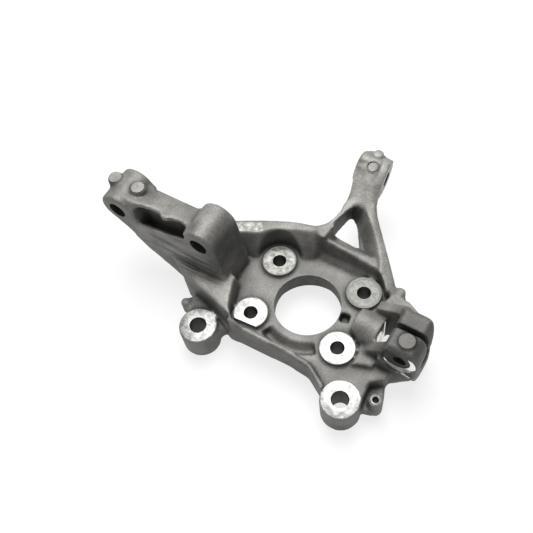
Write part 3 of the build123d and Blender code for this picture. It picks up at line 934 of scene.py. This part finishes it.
@dataclass
class Casting:
    """The one-piece casting, from its rounded cast skin to its machined faces."""

    machining: Machining = field(default_factory=Machining)
    # Spacing of the skin's points, which keeps the piece under 200,000 triangles
    voxel: float = 1.24
    # Rounds of smoothing that round the edges, and how far they may move a point
    rounds: int = 7
    reach: float = 0.9
    # Further rounds where the edges run out softly
    melt_rounds: int = 45
    # Share of the way to its neighbours' mean that a point goes in one round
    step: float = 0.5
    # Edges bent by more than this many degrees stay sharp
    crease: float = 32.0
    # Points that are closer than this are one, in metres
    weld: float = 1e-6

    def stock(self) -> bpy.types.Object:
        """Joins the CAD solid and the bore plugs into one closed skin of even quads.

        Returns:
            The new object, with its mesh remeshed.
        """
        work = bmesh.new()
        work.from_mesh(frame["nodes"][NODE].data)
        bmesh.ops.remove_doubles(work, verts=work.verts, dist=self.weld)
        for filler in [*self.machining.plugs(), *self.machining.lobes]:
            filler.tool(work)
        mesh = bpy.data.meshes.new("knuckle_skin")
        work.to_mesh(mesh)
        work.free()
        skin = put("knuckle_skin", mesh)
        even = skin.modifiers.new("even", "REMESH")
        even.mode = "VOXEL"
        even.voxel_size = self.voxel * MM
        even.adaptivity = 0.0
        self.apply(skin)
        return skin

    def apply(self, target: bpy.types.Object) -> None:
        """Bakes an object's modifiers into its mesh.

        Args:
            target: The object to bake.
        """
        graph = bpy.context.evaluated_depsgraph_get()
        baked = bpy.data.meshes.new_from_object(target.evaluated_get(graph))
        target.modifiers.clear()
        target.data = baked

    def relax(self, skin: bpy.types.Object) -> PaintedShading:
        """Rounds the skin as a mould does, keeps each point near its place, and measures its hollows and
        edges for painted shade and highlights.

        Args:
            skin: The remeshed skin.

        Returns:
            The painted shade of the skin's hollows and walls, and the painted highlights of its edges.
        """
        mesh = skin.data
        web = Web.of(mesh)
        start = read_rows(mesh.vertices, "co")
        place = start.copy()
        for _ in range(self.rounds):
            place += self.step * (web.mean(place) - place)
            shift = place - start
            far = np.linalg.norm(shift, axis=1, keepdims=True)
            place = start + shift * np.minimum(1, self.reach * MM / np.maximum(far, TINY))
        melt = np.max([patch.level * patch.weight(start / MM) for patch in SOFT], axis=0)
        for _ in range(self.melt_rounds):
            place += self.step * melt[:, None] * (web.mean(place) - place)
        mesh.vertices.foreach_set("co", place.astype(np.float32).ravel())
        mesh.update()
        return PaintedShading.measure(place, read_rows(mesh.vertex_normals, "vector"), web, self.voxel * MM)

    def combine(
        self,
        skin: bpy.types.Object,
        forms: Sequence[Round | Prism],
        name: str,
        join: Join,
    ) -> None:
        """Takes forms from the skin, or adds them to it.

        Args:
            skin: The skin to work on.
            forms: The forms, which are worked together.
            name: What to call the tools.
            join: Whether to take or to add.
        """
        tools = []
        for number, one in enumerate(forms):
            work = bmesh.new()
            one.tool(work)
            mesh = bpy.data.meshes.new(f"{name}_{number}")
            work.to_mesh(mesh)
            work.free()
            tool = put(mesh.name, mesh)
            bite = skin.modifiers.new(tool.name, "BOOLEAN")
            bite.operation = join.value
            bite.solver = "MANIFOLD"
            bite.object = tool
            tools.append(mesh)
        self.apply(skin)
        for mesh in tools:
            bpy.data.meshes.remove(mesh)
        LOG.info("%s: %d forms, %d faces", name, len(forms), len(skin.data.polygons))

    def dress(self, skin: bpy.types.Object, painted_shading: PaintedShading) -> None:
        """Gives each cut face its finish, and the rest the cast one with its painted light and shade.

        Args:
            skin: The cut skin.
            painted_shading: Painted light and shade of the cast skin.
        """
        mesh = skin.data
        mesh.materials.clear()
        mesh.materials.append(CastSkin().material())
        slots = {}
        for place, face in enumerate(FINISHES, start=1):
            mesh.materials.append(face.material())
            slots[face.milling] = place
        centres = read_rows(mesh.polygons, "center") / MM
        finish = np.zeros(len(centres), np.int32)
        for one in [*self.machining.facings(), *self.machining.bores(), *self.machining.flats()]:
            finish[one.touches(centres)] = slots[one.milling]
        mesh.polygons.foreach_set("material_index", finish)
        points = read_rows(mesh.vertices, "co") / MM
        # Painted light and shade: the skin's painted shading, then the patches and the pads
        tone = painted_shading.at(points)
        # Paint the patches' light and shade onto the skin
        for patch in PAINTED_LIGHT_PATCHES:
            tone *= 1 + (patch.level - 1) * patch.weight(points)
        # Paint the pads' lit tops and the shadows round their feet
        for pad in [*self.machining.pads, *self.machining.islands()]:
            tone *= pad.halo(points)
        for name, values in ((PAINTED_LIGHT_ATTRIBUTE, tone), (DRAG, FLANK.weight(points))):
            mesh.attributes.new(name, "FLOAT", "POINT").data.foreach_set("value", values.astype(np.float32))
        mesh.shade_smooth()
        mesh.set_sharp_from_angle(angle=math.radians(self.crease))
        LOG.info("%s: %d faces, %d of them machined", skin.name, len(finish), int((finish > 0).sum()))

    def build(self) -> bpy.types.Object:
        """Makes the finished casting and puts it in the CAD node's place.

        Returns:
            The finished piece.
        """
        plan = self.machining
        skin = self.stock()
        LOG.info("cast skin: %d faces", len(skin.data.polygons))
        painted_shading = self.relax(skin)
        self.combine(skin, [*plan.bosses(), *plan.pads], "pad", Join.ADD)
        self.combine(skin, plan.marks(), "mark", Join.TAKE)
        self.combine(skin, plan.islands(), "island", Join.ADD)
        self.combine(skin, plan.facings(), "facing", Join.TAKE)
        self.combine(skin, plan.bores(), "bore", Join.TAKE)
        self.combine(skin, plan.flats(), "flat", Join.TAKE)
        self.dress(skin, painted_shading)
        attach(skin, "root")
        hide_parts(NODE)
        return skin


@dataclass(frozen=True)
class Lamp:
    """A square soft lamp, in metres and watts."""

    name: str
    spot: Point
    size: float
    watts: float

    def hang(self, aim: Point) -> None:
        """Hangs the lamp so that it points at a spot.

        Args:
            aim: The spot.
        """
        data = bpy.data.lights.new(self.name, "AREA")
        data.size = self.size
        data.energy = self.watts
        turn = (Vector(aim) - Vector(self.spot)).to_track_quat("-Z", "Y")
        put(self.name, data).matrix_world = Matrix.Translation(self.spot) @ turn.to_matrix().to_4x4()


@dataclass
class Studio:
    """Pale floor, soft lamps and the camera at the photograph's viewing angle, in metres."""

    # Where the camera stands, and its own axes, as the photograph's perspective gives them
    eye: Point = (-0.255959, -0.174645, 0.614987)
    right: Point = (0.51531, -0.85193, -0.09311)
    up: Point = (0.75871, 0.40298, 0.51182)
    back: Point = (-0.39852, -0.33439, 0.85403)
    focal_px: float = 720.0
    frame_px: float = 533.0
    sensor_mm: float = 36.0
    nearest: float = 0.01
    # The key lamp stands off the mirror direction of the milled faces, so that they keep their marks
    lamps: tuple[Lamp, ...] = (
        Lamp("key", (0.45, 0.26, 1.32), 0.95, 27.0),
        Lamp("fill", (-1.2, 0.6, 0.9), 0.9, 2.0),
    )
    aim: Point = (0.02, 0.04, 0.04)
    surround: float = 0.22
    floor_size: float = 8.0
    floor_drop: float = 0.0005
    floor_colour: str = "#fbfbfa"
    floor_roughness: float = 0.8
    # Share of plain white in the floor that the camera and the glossy faces see
    floor_white: float = 0.78

    def camera(self) -> None:
        """Sets the camera up from the photograph's perspective."""
        data = bpy.data.cameras.new("camera")
        data.sensor_width = self.sensor_mm
        data.lens = self.focal_px / self.frame_px * self.sensor_mm
        data.clip_start = self.nearest
        view = put("camera", data)
        turn = Matrix((self.right, self.up, self.back)).transposed()
        view.matrix_world = Matrix.Translation(self.eye) @ turn.to_4x4()
        bpy.context.scene.camera = view

    def laminate(self) -> bpy.types.Material:
        """Builds the floor's material: matt white laminate, pressed smooth, which scatters light evenly.

        Returns:
            The finished material.
        """
        made = bpy.data.materials.new("matt_white_laminate")
        made.use_nodes = True
        tree = made.node_tree
        shader = tree.nodes["Principled BSDF"]
        shader.inputs["Base Color"].default_value = linear(self.floor_colour)
        shader.inputs["Roughness"].default_value = self.floor_roughness
        # Light falls on the whole floor, so that the part's shadow stays
        rays = add_node(tree, "ShaderNodeLightPath")
        seen = add_node(tree, "ShaderNodeMath", {"operation": "MAXIMUM"},
                        {0: rays.outputs["Is Camera Ray"], 1: rays.outputs["Is Glossy Ray"]})
        share = add_node(tree, "ShaderNodeMath", {"operation": "MULTIPLY", 1: self.floor_white},
                         {0: seen.outputs["Value"]})
        white = add_node(tree, "ShaderNodeEmission", {"Color": linear("#ffffff"), "Strength": 1.0})
        blend = add_node(tree, "ShaderNodeMixShader", {},
                         {0: share.outputs["Value"], 1: shader.outputs["BSDF"],
                          2: white.outputs["Emission"]})
        tree.links.new(blend.outputs["Shader"], tree.nodes["Material Output"].inputs["Surface"])
        return made

    def floor(self) -> None:
        """Lays the floor under the part."""
        half = self.floor_size / 2
        mesh = bpy.data.meshes.new("floor")
        mesh.from_pydata([(-half, -half, 0), (half, -half, 0), (half, half, 0), (-half, half, 0)], [],
                         [(0, 1, 2, 3)])
        mesh.materials.append(self.laminate())
        floor = put("floor", mesh)
        floor.location.z = CAD_BOX[0][2] - self.floor_drop

    def world(self) -> None:
        """Sets a dim, even surround."""
        world = bpy.data.worlds.new("studio")
        world.use_nodes = True
        surround = world.node_tree.nodes["Background"]
        surround.inputs["Color"].default_value = linear("#ffffff")
        surround.inputs["Strength"].default_value = self.surround
        bpy.context.scene.world = world

    def build(self) -> None:
        """Sets up the whole studio."""
        self.camera()
        self.floor()
        self.world()
        for lamp in self.lamps:
            lamp.hang(self.aim)
        bpy.context.scene.view_settings.view_transform = "Standard"


def main() -> None:
    """Builds the studio and the knuckle."""
    logging.basicConfig(level=logging.INFO, format="%(name)s: %(message)s")
    Studio().build()
    piece = Casting().build()
    LOG.info("%s is in place", piece.name)


if __name__ == "__main__":
    main()
